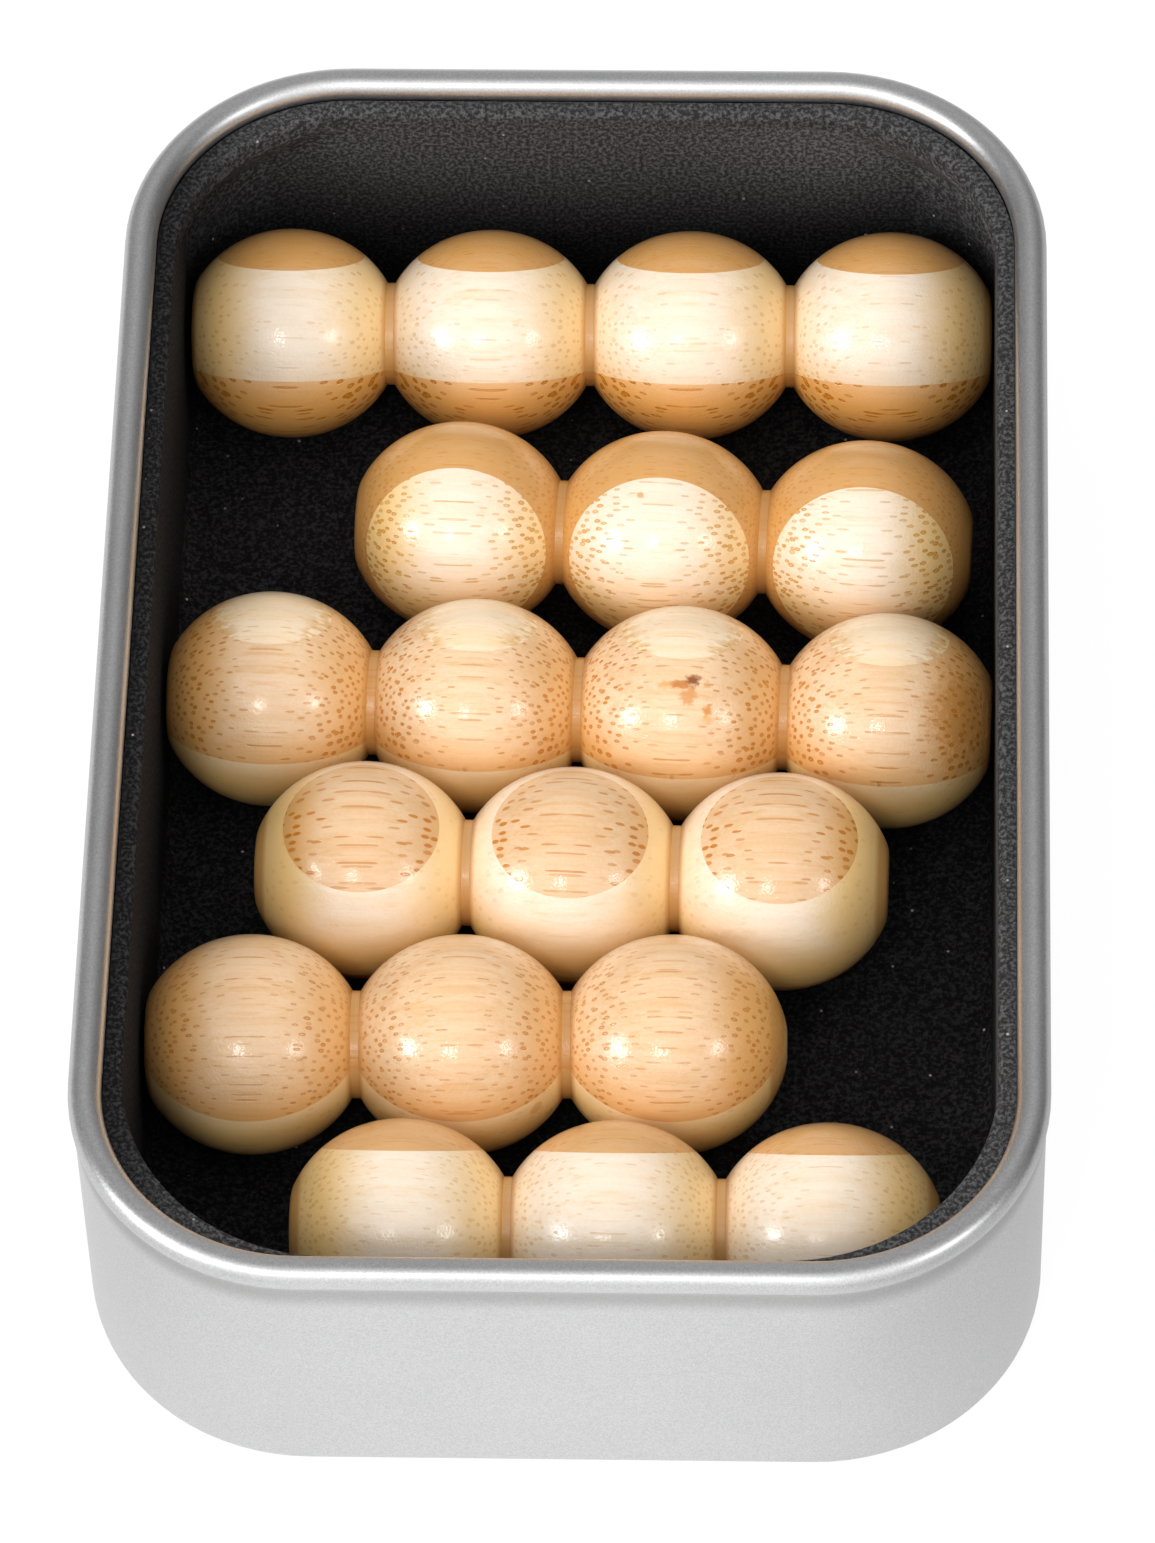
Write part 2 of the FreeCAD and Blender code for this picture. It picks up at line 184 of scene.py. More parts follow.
# Parts of the bamboo's relief, as shares of the depth of its lacquer's sparkle, and of its roughness
WAVE_RELIEF = 0.35
FINE_RELIEF = 0.1
PIT_RELIEF = 0.14
PIT_EDGE = (0.42, 0.30)
BUNDLE_RELIEF = 0.6
CROSS_CUT_ROUGHNESS = 0.12
FINE_ROUGHNESS = 0.08

# The tin: steps of its clouds per millimetre, the heights in millimetres between which the painted
# shade in the groove under its rim begins and is full, from below and from above, and how dark it is
CLOUD_SCALE = 0.09
GROOVE_UNDER_RIM = ((21.4, 23.5), (24.6, 23.8))
RIM_GROOVE_SHADE = 0.4

# The flock: where painted light on its back and right walls begins and is full, in millimetres up and across the tin
PAINTED_LIGHT_HEIGHT = (10.0, 22.0)
PAINTED_LIGHT_BELOW_LIP = (23.2, 22.6)
PAINTED_LIGHT_BACK = (-33.0, -24.0)
PAINTED_LIGHT_RIGHT = (4.0, 24.0)
PAINTED_LIGHT_BACK_SHARE = 0.8
PAINTED_LIGHT_RIGHT_SHARE = 0.6
FLOCK_PATCH_SCALE = 0.35          # patches per millimetre
SPECK_SCALE = 0.75                # specks per millimetre, before chance leaves most of them out
SPECK_SIZE = (0.05, 0.11)         # from its middle, in steps between specks
SPECK_CHANCE = (0.70, 0.99)

# Soft round lamps: the way to each, its power in watts and its width in metres
LAMPS = {
    "front": ((-0.100, -0.610, 0.786), 1.6, 1.50),
    "left": ((-0.780, -0.413, 0.469), 4.2, 0.29),
    "middle": ((-0.179, -0.651, 0.737), 1.0, 0.17),
    "right": ((0.693, -0.451, 0.562), 1.2, 0.20),
}
LAMP_DISTANCE = 1.0       # metres
FLOOR_HALF_SIDE = 2.5     # metres
SENSOR_WIDTH = 36.0       # millimetres
NEAREST_SEEN = 0.01       # metres from the camera

# The floor as a sheet of white paper, as the camera and a glossy face see it
WHITE_TO_CAMERA = 1.05
WHITE_TO_GLOSS = 0.98
CAMERA_SHARE = 0.84                # the rest is the floor's own colour, with the shadow
GLOSS_SHARE = 0.8
SHEET_ENDS_RIGHT = (0.0, 0.07)     # metres across, where it begins to end and has ended
SHEET_ENDS_LEFT = (-0.01, -0.07)
LOSS_RIGHT = 0.50                  # how much darker a glossy face sees the floor past it
LOSS_LEFT = 0.24

# What a glossy face sees of the room, besides its darkest part
FRONT_AND_BACK = 0.3               # rather than the sides
IN_FRONT = 0.6
BEHIND = 0.08
LESS_ON_THE_RIGHT = 0.08


def shade(red, green, blue):
    """A colour as a screen shows it, 0 to 255, worked out as linear light."""
    return tuple(
        c / 12.92 if c <= 0.04045 else ((c + 0.055) / 1.055) ** 2.4
        for c in (red / 255, green / 255, blue / 255)
    )


class Value:
    """A socket inside an expression: each operator adds the Math node that works it out."""

    def __init__(self, finish, socket):
        self.finish = finish
        self.socket = socket

    def other(self, name):
        """Another output of the same node."""
        return Value(self.finish, self.socket.node.outputs[name])

    def span(self, low, high):
        """From low where this is 0 to high where it is 1."""
        return self * (high - low) + low

    def sway(self, width):
        """A pattern from 0 to 1 made to swing about 0, so wide from side to side."""
        return (self - 0.5) * width

    def __add__(self, value):
        return self.finish.math("ADD", self, value)

    def __sub__(self, value):
        return self.finish.math("SUBTRACT", self, value)

    def __rsub__(self, value):
        return self.finish.math("SUBTRACT", value, self)

    def __mul__(self, value):
        return self.finish.math("MULTIPLY", self, value)

    def __truediv__(self, value):
        return self.finish.math("DIVIDE", self, value)

    def __rtruediv__(self, value):
        return self.finish.math("DIVIDE", value, self)

    def __abs__(self):
        return self.finish.math("ABSOLUTE", self)

    __radd__ = __add__
    __rmul__ = __mul__


class Finish:
    """A material, or the world's node tree, and the nodes that make it."""

    def __init__(self, name, tree=None):
        self.material = None
        if tree is None:
            self.material = bpy.data.materials.new(name)
            self.material.use_nodes = True
            tree = self.material.node_tree
        self.tree = tree
        self.tree.nodes.clear()

    def node(self, kind, settings=None, inputs=None, output=0):
        """Add a node: its settings first, then the numbers or links of its sockets."""
        made = self.tree.nodes.new(kind)
        for key, value in (settings or {}).items():
            setattr(made, key, value)
        for key, value in (inputs or {}).items():
            socket = made.inputs[key]
            if isinstance(value, Value):
                self.tree.links.new(value.socket, socket)
            elif socket.type == "RGBA":
                socket.default_value = (*value, 1.0)
            else:
                socket.default_value = value
        return Value(self, made.outputs[output]) if made.outputs else made

    def math(self, operation, *values):
        return self.node("ShaderNodeMath", {"operation": operation}, dict(enumerate(values)))

    def vector(self, operation, *vectors, output=0):
        return self.node("ShaderNodeVectorMath", {"operation": operation}, dict(enumerate(vectors)), output)

    def split(self, vector):
        parts = self.node("ShaderNodeSeparateXYZ", None, {0: vector})
        return parts, parts.other("Y"), parts.other("Z")

    def join(self, x, y, z):
        return self.node("ShaderNodeCombineXYZ", None, {0: x, 1: y, 2: z})

    def mix(self, factor, first, second):
        return self.node("ShaderNodeMix", {"data_type": "RGBA"}, {0: factor, 6: first, 7: second}, 2)

    def place(self):
        """The point on the object, in metres."""
        return self.node("ShaderNodeTexCoord", None, None, "Object")

    def place_in_millimetres(self):
        return self.vector("MULTIPLY", self.place(), (1 / MILLIMETRE,) * 3)

    def noise(self, vector, scale, detail=2.0, roughness=0.6):
        return self.node("ShaderNodeTexNoise", None, {
            "Vector": vector, "Scale": scale, "Detail": detail, "Roughness": roughness})

    def streaks(self, vector, steps, detail=2.0, roughness=0.6):
        """Noise with its own steps per millimetre in each direction."""
        return self.noise(self.vector("MULTIPLY", vector, steps), 1.0, detail, roughness)

    def ease(self, value, low, high):
        """0 below low, 1 above high and a smooth step between; high may be the smaller one."""
        return self.node(
            "ShaderNodeMapRange", {"interpolation_type": "SMOOTHSTEP"},
            {"Value": value, "From Min": low, "From Max": high})

    def between(self, value, low, high):
        """0 below low, 1 above high and a straight rise between."""
        return self.node("ShaderNodeMapRange", None, {"Value": value, "From Min": low, "From Max": high})

    def largest(self, *values):
        """The largest of some values at each point."""
        most = values[0]
        for value in values[1:]:
            most = self.math("MAXIMUM", most, value)
        return most

    def bump(self, height, depth):
        """Bump of a height from 0 to 1 that is so many millimetres deep."""
        return self.node(
            "ShaderNodeBump", None, {"Height": height, "Distance": depth * MILLIMETRE, "Strength": 1.0})

    def surface(self, **sockets):
        """Close the material with a Principled shader; names are its sockets, with _ for spaces."""
        shader = self.node(
            "ShaderNodeBsdfPrincipled", None, {key.replace("_", " "): value for key, value in sockets.items()})
        self.node("ShaderNodeOutputMaterial", None, {"Surface": shader})
        return self.material


class Bamboo(Finish):
    """Bamboo as a solid pattern in the rod's own frame, so that the lathe's cuts show through it.

    Bundles of fibres are thin cylinders along the rod: dots where the cut crosses them, at the ends
    of each ball, and long streaks where it runs along them, at its middle.
    """

    def __init__(self, name, look, centre, rod, index):
        super().__init__(name)
        self.look = look
        self.board = rod.boards[index]
        self.marks = MARKS.get(name, ())

        # In millimetres: along the rod, across and through its boards, and up from its middle
        point = self.place()
        self.in_rod = self.node("ShaderNodeMapping", {"vector_type": "TEXTURE"}, {
            "Vector": point,
            "Location": centre,
            "Rotation": (math.radians(rod.board_angle - 90), 0.0, math.radians(rod.turn)),
            "Scale": (MILLIMETRE,) * 3})
        self.along, _, self.through = self.split(self.in_rod)
        _, _, height = self.split(self.vector("SUBTRACT", point, centre))
        self.height = height / MILLIMETRE

        # Each board is cut from another stretch of the bamboo, and its fibres wander a little
        seed = sum(ord(letter) * (i + 3) for i, letter in enumerate(name)) % 97
        self.cut = self.vector("ADD", self.in_rod, [seed * step for step in SEED_STEPS])
        wander = self.streaks(self.cut, WANDER, 1.0, 0.5).other("Color")
        wander = self.vector(
            "MULTIPLY", self.vector("SUBTRACT", wander, (0.5, 0.5, 0.5)), (0.0, WANDER_WIDTH, WANDER_WIDTH))
        self.threads = self.vector("ADD", self.cut, wander)

        # From -0.5 at a ball's left neck over 0 in its middle to 0.5 at its right one
        self.side = self.math("FRACT", self.along / BALL_PITCH + rod.balls / 2) - 0.5
        self.to_neck = abs(self.side)
        self.ends = self.ease(self.to_neck, *CROSS_CUT)
        self.groove = self.ease(self.to_neck, *NECK_GROOVE)
        self.half_rod = rod.balls * BALL_PITCH / 2

        # From 0 at the board's inner face to 1 at its outer one
        self.inner_face = BALL_RADIUS - rod.cap - index * BOARD_THICKNESS
        self.depth = self.between(self.through, self.inner_face, self.inner_face + BOARD_THICKNESS)

    def bundles(self):
        """Round cells in the section across the fibres, fewer and larger away from where they crowd."""
        board = self.board
        _, thread_y, thread_z = self.split(self.threads)
        cells = self.node("ShaderNodeTexVoronoi", {"voronoi_dimensions": "2D"}, {
            "Vector": self.join(thread_y, thread_z * CELL_SQUASH, 0.0),
            "Scale": 1 / board.spacing,
            "Randomness": CELL_DISORDER})
        chance = self.node("ShaderNodeSeparateColor", None, {0: cells.other("Color")})
        crowd = self.depth if board.crowd >= 0 else 1 - self.depth
        lean = abs(board.crowd)

        size = chance.span(*SIZES) * self.ends.span(STREAK_SIZE, 1.0)
        size = size * (1 + lean * AWAY_GAIN - crowd * (CROWD_LOSS * lean))
        ratio = cells / (size * (board.width / board.spacing * HALF_WIDTH))
        dot = 1 - self.ease(ratio, *DOT_EDGE)
        heart = 1 - self.ease(ratio, *HEART_EDGE)

        patches = self.streaks(self.cut, PATCHES, 1.0, 0.5)
        swing = self.ease(crowd, *CROWD_RANGE) * (2 * CROWD_SWING * lean)
        share = board.share - CROWD_SWING * lean + swing
        present = self.ease(share + patches.sway(PATCH_SWING) - chance.other("Green"), *PRESENT_EDGE)
        strength = chance.other("Blue").span(*STRENGTHS) * self.ends.span(STREAK_STRENGTH, 1.0) * board.strength
        bundles = dot * present * strength * (1 - heart * (1 - crowd * lean) * board.hollow)
        if board.bleed:
            bundles = bundles + self.seam_teeth() * board.bleed
        return bundles * (1 - self.groove * GROOVE_HIDES)

    def seam_teeth(self):
        """Dark teeth that run into the board from its inner seam, near the ends of a ball."""
        near_seam = self.ease(self.through, self.inner_face + TEETH_REACH, self.inner_face)
        teeth = self.streaks(self.threads, TEETH)
        return near_seam * self.ease(self.to_neck, *SEAM_TEETH) * self.ease(teeth, *TEETH_EDGE)

    def grain(self, fine):
        """How dark the ground between the bundles is: streaks, lines, threads and a fine mottle."""
        streaks = self.streaks(self.threads, GRAIN, 3.0)
        lines = self.streaks(self.threads, GRAIN_LINES)
        mottle = self.noise(self.in_rod, MOTTLE_SCALE)
        return (self.ease(streaks, *STREAK_EDGE) * STREAK_WEIGHT + self.ease(fine, *FINE_EDGE) * FINE_WEIGHT
                + self.ease(lines, *LINE_EDGE) * LINE_WEIGHT + mottle.sway(MOTTLE_WEIGHT))

    def golden(self, grain):
        """How much of the golden colour shows: end grain at a ball's ends, and painted shade at its right end, at the
        rod's ends, low down and, in part, all over boards that face up and back.
        """
        return self.largest(
            self.ease(self.side, *GOLDEN_RIGHT) * RIGHT_SHARE,
            self.ease(self.side, *GOLDEN_LEFT) * LEFT_SHARE,
            self.ease(abs(self.along), *(self.half_rod - inset for inset in PAINTED_SHADE_ROD_ENDS)) * ROD_ENDS_SHADE_SHARE,
            self.ease(self.height, *PAINTED_SHADE_UNDERSIDE[self.board.tone]),
            self.board.deep + (grain - MEAN_GRAIN) * GRAIN_IN_GOLD)

    def add_marks(self, colour):
        """Knots, stains and one painted shade: stretched balls of another colour, with a ragged edge."""
        for point, half, stretch, force, tint in self.marks:
            offset = self.vector("MULTIPLY", self.vector("SUBTRACT", self.in_rod, point), (1 / stretch, 1.0, 1.0))
            ragged = self.streaks(self.in_rod, RAGGED_EDGE, 3.0, 0.65)
            distance = self.vector("LENGTH", offset, output="Value") + ragged.sway(half * 1.8)
            colour = self.mix(self.ease(distance, half, half * 0.3) * force, colour, shade(*tint))
        return colour

    def lacquered(self):
        """The whole finish: ground, golden end grain and painted shade, grooves with painted shade and dull lacquer,
        bundles and marks under a thin lacquer.
        """
        look = self.look
        light, dark, bundle, end_grain_and_shade_colour = (
            getattr(look, self.board.tone + part) for part in ("", "_dark", "_bundle", "_end"))
        light, dark, end_grain_and_shade_colour = (
            [part * self.board.light for part in tone] for tone in (light, dark, end_grain_and_shade_colour))
        fine = self.streaks(self.threads, FINE_GRAIN)
        grain = self.grain(fine)
        bundles = self.bundles()
        colour = self.mix(grain, light, dark)
        # golden end grain, and painted shade at right ends, rod ends, the underside and shaded boards
        colour = self.mix(self.golden(grain), colour, end_grain_and_shade_colour)
        # painted shade in the crease of each neck, over its dull end grain
        colour = self.mix(self.groove * NECK_SHADE_SHARE, colour, look.neck)
        colour = self.mix(bundles, colour, bundle)
        colour = self.add_marks(colour)

        waves = self.noise(self.in_rod, look.sparkle_scale, 1.0, 0.5)
        relief = (waves * WAVE_RELIEF + fine * FINE_RELIEF - self.ease(waves, *PIT_EDGE) * PIT_RELIEF
                  - bundles * BUNDLE_RELIEF)
        return self.surface(
            Base_Color=colour,
            Roughness=look.gloss_roughness + self.ends * CROSS_CUT_ROUGHNESS + fine.sway(FINE_ROUGHNESS),
            IOR=1.55,
            Coat_Weight=1 - self.groove * GROOVE_DULLS,
            Coat_Roughness=0.45,
            Coat_IOR=1.5,
            Normal=self.bump(relief, look.sparkle_depth),
        )


def satin_tin(look):
    """Tinplate with a satin face: a fine even grit, faint clouds in the gloss, painted shade under the rim."""
    finish = Finish("satin_tin")
    place = finish.place_in_millimetres()
    grit = finish.noise(place, look.grit_scale)
    clouds = finish.noise(place, CLOUD_SCALE, 3.0, 0.55)
    colour = finish.mix(finish.ease(grit, 0.3, 0.7) * 0.7 + clouds * 0.3, look.metal, look.metal_light)
    _, _, height = finish.split(place)
    # painted shade in the groove under the rolled rim
    from_below, from_above = (finish.ease(height, *edge) for edge in GROOVE_UNDER_RIM)
    colour = finish.mix(from_below * from_above * RIM_GROOVE_SHADE, colour, look.metal_rim_shade)
    return finish.surface(
        Base_Color=colour,
        Metallic=1.0,
        Roughness=look.roughness + grit.sway(0.2) + clouds.sway(0.1),
        Normal=finish.bump(grit, look.grit_depth),
    )


def black_flock(look):
    """Short black fibres: a dull ground with lighter tufts and a few pale specks.

    High on the back and right walls, which face the lamps, the flock is painted paler: painted light.
    """
    finish = Finish("black_flock")
    place = finish.place_in_millimetres()
    tufts = finish.noise(place, look.tuft_scale, 3.0, 0.65)
    tips = finish.ease(tufts, 0.42, 0.66)
    patches = finish.noise(place, FLOCK_PATCH_SCALE, 2.0, 0.5)
    colour = finish.mix(tips * patches.span(0.5, 1.0), look.ground, look.tuft)

    across, _, height = finish.split(place)
    # painted light: paler flock high on the walls that face the lamps
    back = finish.ease(across, *PAINTED_LIGHT_BACK) * PAINTED_LIGHT_BACK_SHARE
    right = finish.ease(across, *PAINTED_LIGHT_RIGHT) * finish.ease(height, *PAINTED_LIGHT_BELOW_LIP) * PAINTED_LIGHT_RIGHT_SHARE
    painted_light = finish.ease(height, *PAINTED_LIGHT_HEIGHT) * (back + right)
    colour = finish.mix(painted_light * tips.span(0.2, 1.0), colour, look.painted_light_pile)

    cells = finish.node("ShaderNodeTexVoronoi", None, {"Vector": place, "Scale": SPECK_SCALE, "Randomness": 1.0})
    chance = finish.node("ShaderNodeSeparateColor", None, {0: cells.other("Color")})
    speck = (1 - finish.ease(cells, *SPECK_SIZE)) * finish.ease(chance, *SPECK_CHANCE)
    colour = finish.mix(speck * 0.8, colour, look.speck)
    return finish.surface(
        Base_Color=colour,
        Roughness=0.95,
        Specular_IOR_Level=0.1,
        Normal=finish.bump(tufts, look.tuft_depth),
    )


def studio_floor(look):
    """A pale floor that keeps a soft shadow and shows the camera a nearly white ground.

    In a glossy face it is a sheet of paper that ends to the right of the tin and, further off, to its left.
    """
    finish = Finish("floor")
    ray = finish.node("ShaderNodeLightPath", None, None, "Is Camera Ray")
    gloss = ray.other("Is Glossy Ray")
    across, _, _ = finish.split(finish.place())
    sheet = (WHITE_TO_GLOSS - finish.ease(across, *SHEET_ENDS_RIGHT) * LOSS_RIGHT
             - finish.ease(across, *SHEET_ENDS_LEFT) * LOSS_LEFT)
    paper = finish.node("ShaderNodeBsdfDiffuse", None, {"Color": look.floor})
    white = finish.node("ShaderNodeEmission", None, {"Color": gloss.span(WHITE_TO_CAMERA, sheet), "Strength": 1.0})
    seen = finish.node("ShaderNodeMixShader", None, {
        0: ray * CAMERA_SHARE + gloss * GLOSS_SHARE, 1: paper, 2: white})
    finish.node("ShaderNodeOutputMaterial", None, {"Surface": seen})
    return finish.material


def studio_room(look, tree):
    """Even light all round, white to the camera, and a room with a bright front in a glossy face."""
    sky = Finish("studio", tree)
    ray = sky.node("ShaderNodeLightPath", None, None, "Is Camera Ray")
    across, along, _ = sky.split(sky.node("ShaderNodeTexCoord", None, None, "Generated"))
    room = (look.room_in_gloss
            + (1 - abs(across)) * FRONT_AND_BACK
            + sky.ease(along, 0.1, -0.7) * IN_FRONT
            + sky.ease(along, 0.1, 0.8) * BEHIND
            - sky.ease(across, 0.0, 0.9) * LESS_ON_THE_RIGHT)
    strength = look.sky + ray * (1 - look.sky) + ray.other("Is Glossy Ray") * (room - look.sky)
    light = sky.node("ShaderNodeBackground", None, {"Color": (1.0, 1.0, 1.0), "Strength": strength})
    sky.node("ShaderNodeOutputWorld", None, {"Surface": light})


def soft_lamp(name, way, power, width, target):
    """A round lamp that shines at the target."""
    data = bpy.data.lights.new(name, "AREA")
    data.shape = "DISK"
    data.size = width
    data.energy = power
    lamp = bpy.data.objects.new(name, data)
    direction = Vector(way).normalized()
    lamp.location = target + direction * LAMP_DISTANCE
    lamp.rotation_euler = direction.to_track_quat("Z", "Y").to_euler()
    return lamp


def photo_camera(look, target):
    """The camera: back from the target by its elevation and azimuth, then rolled about its own axis."""
    data = bpy.data.cameras.new("camera")
    data.lens = look.lens
    data.sensor_width = SENSOR_WIDTH
    data.clip_start = NEAREST_SEEN
    camera = bpy.data.objects.new("camera", data)
    back = Vector((
        math.cos(look.elevation) * math.sin(look.azimuth),
        -math.cos(look.elevation) * math.cos(look.azimuth),
        math.sin(look.elevation)))
    right = Vector((0, 0, 1)).cross(back).normalized()
    up = back.cross(right)
    turned_right = right * math.cos(look.roll) + up * math.sin(look.roll)
    turned_up = up * math.cos(look.roll) - right * math.sin(look.roll)
    camera.rotation_euler = Matrix((turned_right, turned_up, back)).transposed().to_euler()
    camera.location = target + back * look.distance
    return camera


def colour_property(name, description, default):
    return bpy.props.FloatVectorProperty(
        name=name, description=description, default=default, subtype="COLOR", min=0.0, max=1.0, size=3)


class BambooLook(bpy.types.PropertyGroup):
    natural: colour_property("Natural", "Light ground of the natural bamboo", shade(243, 225, 203))
    natural_dark: colour_property("Natural grain", "Darker grain of the natural bamboo", shade(234, 206, 172))
    natural_bundle: colour_property("Natural bundles", "Fibre bundles in natural bamboo", shade(208, 146, 40))
    # natural end grain, also the colour of painted shade at the rod's ends, its underside and right ball ends
    natural_end: colour_property("Natural ends", "End grain by the necks of natural bamboo", shade(246, 202, 126))
    brown: colour_property("Brown", "Light ground of the steamed bamboo", shade(241, 206, 167))
    brown_dark: colour_property("Brown grain", "Darker grain of the steamed bamboo", shade(226, 182, 132))
    brown_bundle: colour_property("Brown bundles", "Fibre bundles in steamed bamboo", shade(198, 122, 14))
    # steamed end grain, also the colour of painted shade at the rod's ends, its underside and right ball ends
    brown_end: colour_property("Brown ends", "End grain by the necks of steamed bamboo", shade(232, 169, 90))
    # end grain in the neck, darkened with painted shade in the crease between two balls
    neck: colour_property("Necks", "Dull end grain in the groove between two balls", shade(206, 150, 82))
    gloss_roughness: bpy.props.FloatProperty(
        name="Lacquer roughness", description="Roughness of the lacquer", default=0.12, min=0.0, max=1.0)
    sparkle_scale: bpy.props.FloatProperty(
        name="Sparkle scale", description="Pits in the lacquer per millimetre", default=5.0, min=0.1)
    sparkle_depth: bpy.props.FloatProperty(
        name="Sparkle depth", description="Depth of the pits in millimetres", default=0.045, min=0.0)


class TinLook(bpy.types.PropertyGroup):
    metal: colour_property("Metal", "Darker grains of the tinplate", shade(200, 200, 201))
    metal_light: colour_property("Metal, light", "Lighter grains of the tinplate", shade(228, 228, 228))
    # painted shade: the tinplate darkened in the groove under the rolled rim
    metal_rim_shade: colour_property("Metal, painted rim shade", "Tinplate in the groove under the rolled rim", shade(128, 126, 124))
    roughness: bpy.props.FloatProperty(
        name="Roughness", description="Roughness of the satin face", default=0.40, min=0.0, max=1.0)
    grit_scale: bpy.props.FloatProperty(
        name="Grit scale", description="Grains per millimetre", default=7.0, min=0.1)
    grit_depth: bpy.props.FloatProperty(
        name="Grit depth", description="Depth of the grains in millimetres", default=0.0022, min=0.0)


class FlockLook(bpy.types.PropertyGroup):
    ground: colour_property("Ground", "Shade between the fibres", shade(17, 16, 17))
    tuft: colour_property("Tufts", "Lighter fibre tips", shade(54, 53, 54))
    # painted light: the flock as it looks where the lamps light the back and right walls
    painted_light_pile: colour_property("Painted light pile", "Pile that leans away and shows its flanks", shade(96, 95, 96))
    speck: colour_property("Specks", "Pale dust and fibre ends", shade(190, 186, 182))
    tuft_scale: bpy.props.FloatProperty(
        name="Tuft scale", description="Tufts per millimetre", default=3.2, min=0.1)
    tuft_depth: bpy.props.FloatProperty(
        name="Tuft depth", description="Depth of the tufts in millimetres", default=0.03, min=0.0)


class StudioLook(bpy.types.PropertyGroup):
    elevation: bpy.props.FloatProperty(
        name="Elevation", description="Camera's height as an angle", default=math.radians(54.9710), subtype="ANGLE")
    azimuth: bpy.props.FloatProperty(
        name="Azimuth", description="Camera's turn to the right of the front",
        default=math.radians(3.0949), subtype="ANGLE")
    roll: bpy.props.FloatProperty(
        name="Roll", description="Camera's roll", default=math.radians(-2.0238), subtype="ANGLE")
    distance: bpy.props.FloatProperty(
        name="Distance", description="From the camera to the point it looks at", default=0.68, unit="LENGTH")
    target: bpy.props.FloatVectorProperty(
        name="Target", description="The point that the camera looks at", default=(0.000190, -0.002320, 0.013034),
        subtype="TRANSLATION", unit="LENGTH", size=3, precision=6)
    lens: bpy.props.FloatProperty(
        name="Lens", description="Focal length on a 36 mm long side", default=213.093, subtype="DISTANCE_CAMERA")
    floor: colour_property("Floor", "Colour of the floor", (0.86, 0.86, 0.86))
    sky: bpy.props.FloatProperty(
        name="Sky", description="Strength of the even light all round", default=0.95, min=0.0)
    room_in_gloss: bpy.props.FloatProperty(
        name="Room in gloss", description="Strength of the darkest part of the room in a glossy face",
        default=0.09, min=0.0)


def give(name, material):
    """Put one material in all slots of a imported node, which has to be there."""
    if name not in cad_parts:
        raise RuntimeError(f"the packed model has no node {name}")
    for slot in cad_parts[name].material_slots:
        slot.material = material


def rod_centre(name, rod):
    """Middle of a rod's row of balls at rest: that of its boards' boxes, less its uneven ends' share."""
    corners = [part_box(f"{name}_{ply}") for ply in PLIES]
    middle = [
        (min(low[axis] for low, _ in corners) + max(high[axis] for _, high in corners)) / 2
        for axis in range(3)
    ]
    middle[0] -= (rod.ends[1] - rod.ends[0]) * BALL_HALF_LENGTH / 2 * MILLIMETRE
    return middle


class PUZZLE_OT_tin(bpy.types.Operator):
    """Give the tin its satin tinplate"""
    bl_idname = "puzzle.tin"
    bl_label = "Tin"

    def execute(self, context):
        give("tin_tray", satin_tin(context.scene.puzzle_tin))
        return {"FINISHED"}


class PUZZLE_OT_insert(bpy.types.Operator):
    """Cover the formed insert with black flock"""
    bl_idname = "puzzle.insert"
    bl_label = "Flocked insert"

    def execute(self, context):
        give("flocked_insert", black_flock(context.scene.puzzle_flock))
        return {"FINISHED"}


class PUZZLE_OT_rods(bpy.types.Operator):
    """Give each glued board of the six ball rods its own cut of bamboo"""
    bl_idname = "puzzle.rods"
    bl_label = "Bamboo rods"

    def execute(self, context):
        look = context.scene.puzzle_bamboo
        for name, rod in RODS.items():
            centre = rod_centre(name, rod)
            for index, ply in enumerate(PLIES):
                board = f"{name}_{ply}"
                give(board, Bamboo(board, look, centre, rod, index).lacquered())
        return {"FINISHED"}


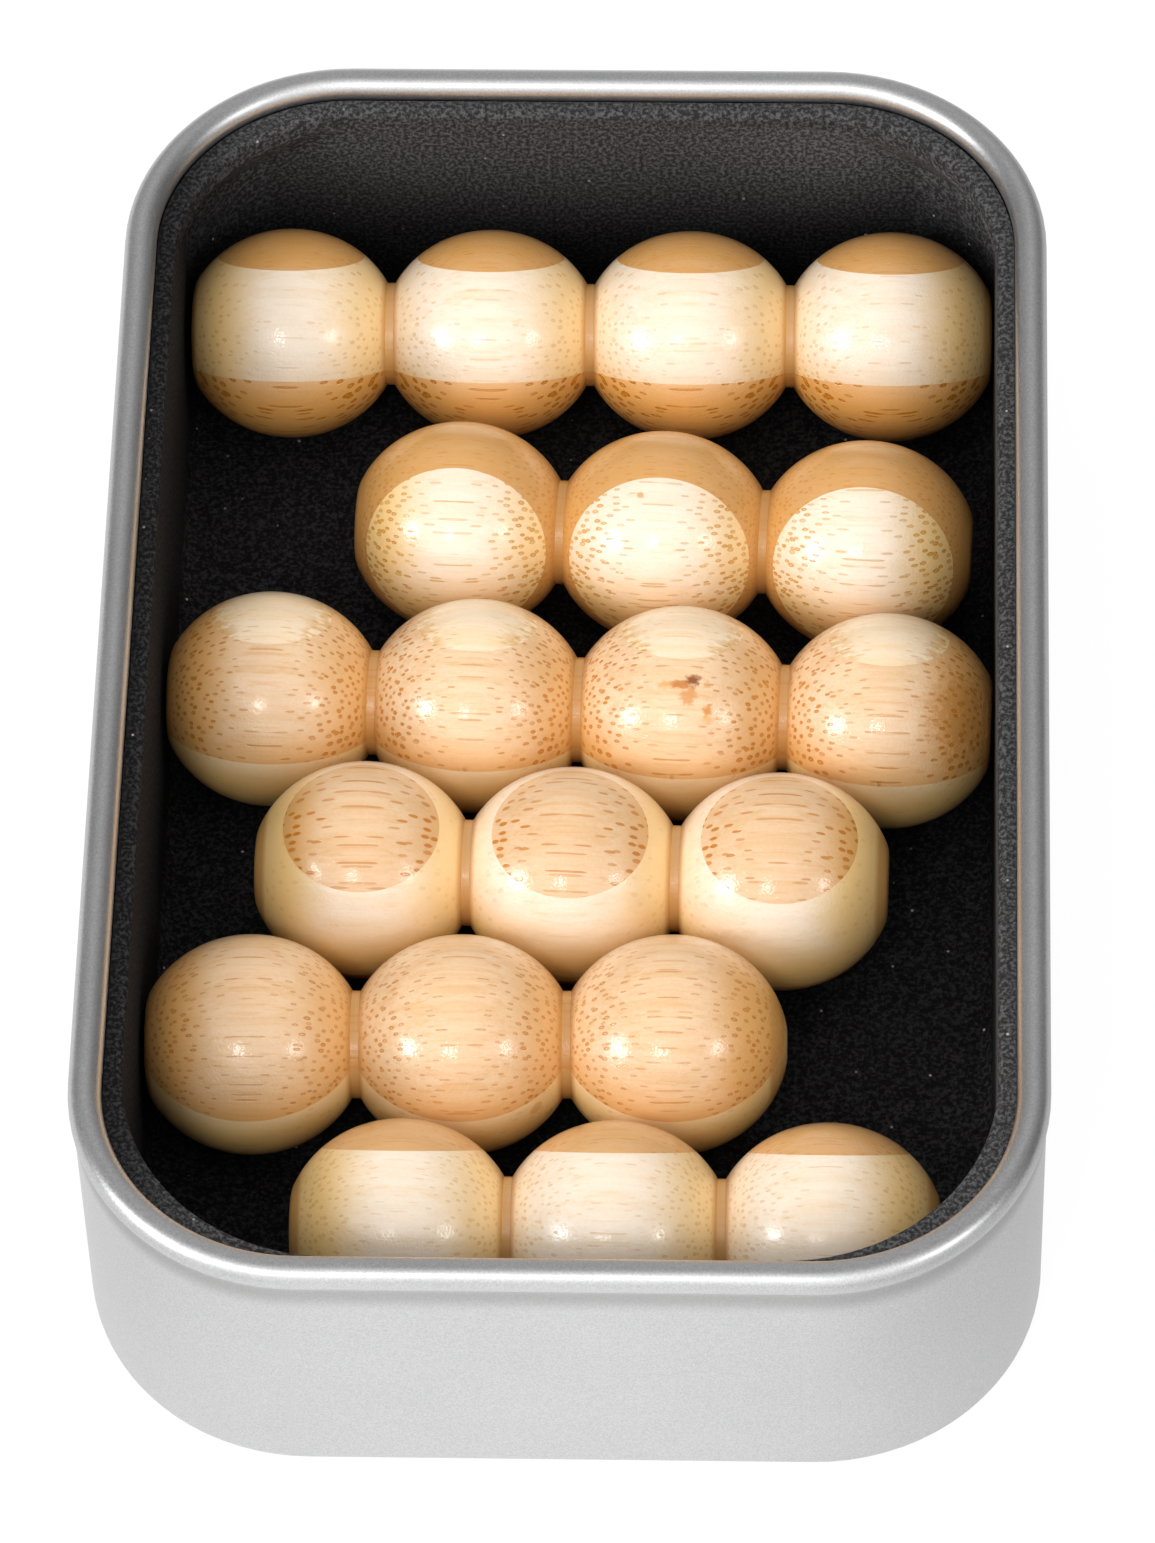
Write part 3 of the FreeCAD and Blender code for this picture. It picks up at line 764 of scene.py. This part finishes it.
class PUZZLE_OT_studio(bpy.types.Operator):
    """Set the floor, the even light, the soft lamps and the camera"""
    bl_idname = "puzzle.studio"
    bl_label = "Studio"

    def execute(self, context):
        scene = context.scene
        look = scene.puzzle_studio
        scene.view_settings.view_transform = "Standard"

        mesh = bpy.data.meshes.new("floor")
        corners = [(x * FLOOR_HALF_SIDE, y * FLOOR_HALF_SIDE, 0) for x, y in ((-1, -1), (1, -1), (1, 1), (-1, 1))]
        mesh.from_pydata(corners, [], [(0, 1, 2, 3)])
        mesh.materials.append(studio_floor(look))
        floor = bpy.data.objects.new("floor", mesh)
        scene.collection.objects.link(floor)

        scene.world = bpy.data.worlds.new("studio")
        scene.world.use_nodes = True
        studio_room(look, scene.world.node_tree)

        target = Vector(look.target)
        for name, (way, power, width) in LAMPS.items():
            scene.collection.objects.link(soft_lamp(f"lamp_{name}", way, power, width, target))
        scene.camera = photo_camera(look, target)
        scene.collection.objects.link(scene.camera)
        return {"FINISHED"}


class PUZZLE_PT_sidebar(bpy.types.Panel):
    """Lists the looks and the steps of the puzzle"""
    bl_idname = "PUZZLE_PT_sidebar"
    bl_label = "Pyramid Puzzle"
    bl_space_type = "VIEW_3D"
    bl_region_type = "UI"
    bl_category = "Puzzle"

    def draw(self, context):
        layout = self.layout
        for name in GROUPS:
            box = layout.box()
            group = getattr(context.scene, name)
            for key in group.__annotations__:
                box.prop(group, key)
        for step in STEPS:
            layout.operator(step.bl_idname)


GROUPS = {
    "puzzle_bamboo": BambooLook,
    "puzzle_tin": TinLook,
    "puzzle_flock": FlockLook,
    "puzzle_studio": StudioLook,
}
STEPS = (PUZZLE_OT_tin, PUZZLE_OT_insert, PUZZLE_OT_rods, PUZZLE_OT_studio)


def register():
    for item in (*GROUPS.values(), *STEPS, PUZZLE_PT_sidebar):
        bpy.utils.register_class(item)
    for name, group in GROUPS.items():
        setattr(bpy.types.Scene, name, bpy.props.PointerProperty(type=group))


def unregister():
    for name in GROUPS:
        delattr(bpy.types.Scene, name)
    for item in (PUZZLE_PT_sidebar, *reversed(STEPS), *reversed(GROUPS.values())):
        bpy.utils.unregister_class(item)


def main():
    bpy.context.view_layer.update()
    register()
    bpy.ops.puzzle.tin()
    bpy.ops.puzzle.insert()
    bpy.ops.puzzle.rods()
    bpy.ops.puzzle.studio()
    bpy.context.view_layer.update()


if __name__ == "__main__":
    main()
